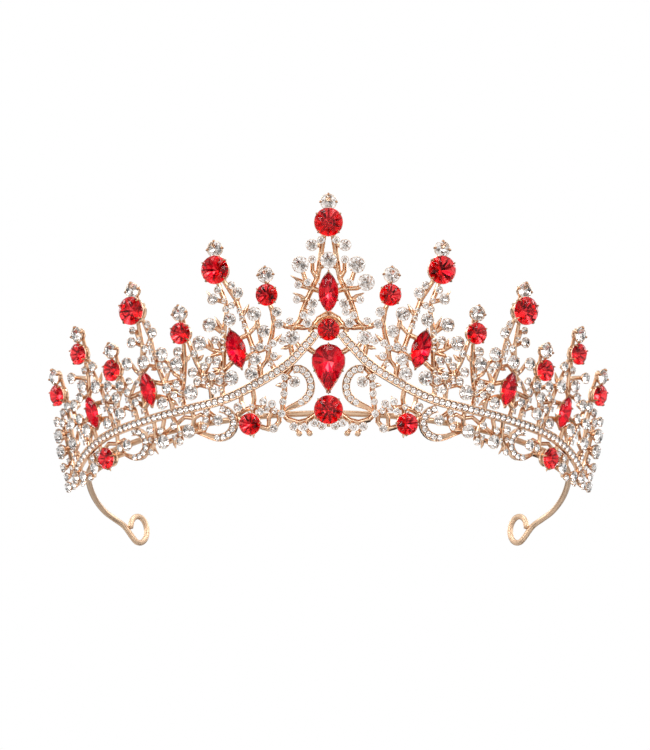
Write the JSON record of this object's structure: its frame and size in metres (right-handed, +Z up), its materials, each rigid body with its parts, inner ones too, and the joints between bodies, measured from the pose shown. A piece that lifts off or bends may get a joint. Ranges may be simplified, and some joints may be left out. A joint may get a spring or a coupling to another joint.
{
  "type": "crown",
  "caption": "Open bridal crown: curved openwork wall of cast metal sprigs set with red and clear cut stones, pave rails, pointed finials and a wire headband with a pin loop at each end.",
  "frame": {"origin": "centre of the base arc of the wall, on the plane the crown stands on, inside the curve where the head goes", "axes": "+Z up, the jewelled face looks along -Y, the open side with the pin loops along +Y, +X along the crown's width to a front viewer's right"},
  "size_m": [0.1584, 0.11, 0.0624],
  "materials": {
    "cast_gold": "polished champagne gold plating over a zinc alloy casting",
    "setting_gold": "polished champagne gold plating on cups and claws",
    "wire_gold": "polished champagne gold plating on drawn wire",
    "red_stone": "foiled faceted red glass",
    "clear_stone": "foiled faceted clear glass",
    "pave_stone": "foiled faceted clear glass, small"
  },
  "bodies": {
    "root": {"headband_wire": "wire_gold", "centre_casting": "cast_gold", "left_wing_casting": "cast_gold", "right_wing_casting": "cast_gold", "left_pave_rail": "cast_gold", "right_pave_rail": "cast_gold", "left_pave_rail_stones": "pave_stone", "right_pave_rail_stones": "pave_stone", "left_inner_scroll": "cast_gold", "right_inner_scroll": "cast_gold", "left_middle_scroll": "cast_gold", "right_middle_scroll": "cast_gold", "left_end_scroll": "cast_gold", "right_end_scroll": "cast_gold", "left_scroll_stones": "pave_stone", "right_scroll_stones": "pave_stone", "centre_clear_cups": "setting_gold", "left_clear_cups": "setting_gold", "right_clear_cups": "setting_gold", "pear_setting": "setting_gold", "centre_marquise_setting": "setting_gold", "left_marquise_settings": "setting_gold", "right_marquise_settings": "setting_gold", "arch_chaton_cup": "setting_gold", "base_chaton_cup": "setting_gold", "left_lower_chaton_cups": "setting_gold", "right_lower_chaton_cups": "setting_gold", "centre_finial": "setting_gold", "left_tall_finials": "setting_gold", "right_tall_finials": "setting_gold", "left_short_finials": "setting_gold", "right_short_finials": "setting_gold", "pear_stone": "red_stone", "centre_marquise_stone": "red_stone", "left_marquise_stones": "red_stone", "right_marquise_stones": "red_stone", "arch_chaton_stone": "red_stone", "base_chaton_stone": "red_stone", "left_lower_chaton_stones": "red_stone", "right_lower_chaton_stones": "red_stone", "centre_finial_stone": "red_stone", "left_tall_finial_stones": "red_stone", "right_tall_finial_stones": "red_stone", "left_short_finial_stones": "red_stone", "right_short_finial_stones": "red_stone", "centre_tip_stone": "clear_stone", "left_tip_stones": "clear_stone", "right_tip_stones": "clear_stone", "centre_clear_stones": "clear_stone", "left_large_clear_stones": "clear_stone", "right_large_clear_stones": "clear_stone", "left_medium_clear_stones": "clear_stone", "right_medium_clear_stones": "clear_stone", "left_small_clear_stones": "clear_stone", "right_small_clear_stones": "clear_stone", "left_stem_stones": "pave_stone", "right_stem_stones": "pave_stone"}
  },
  "joints": []
}
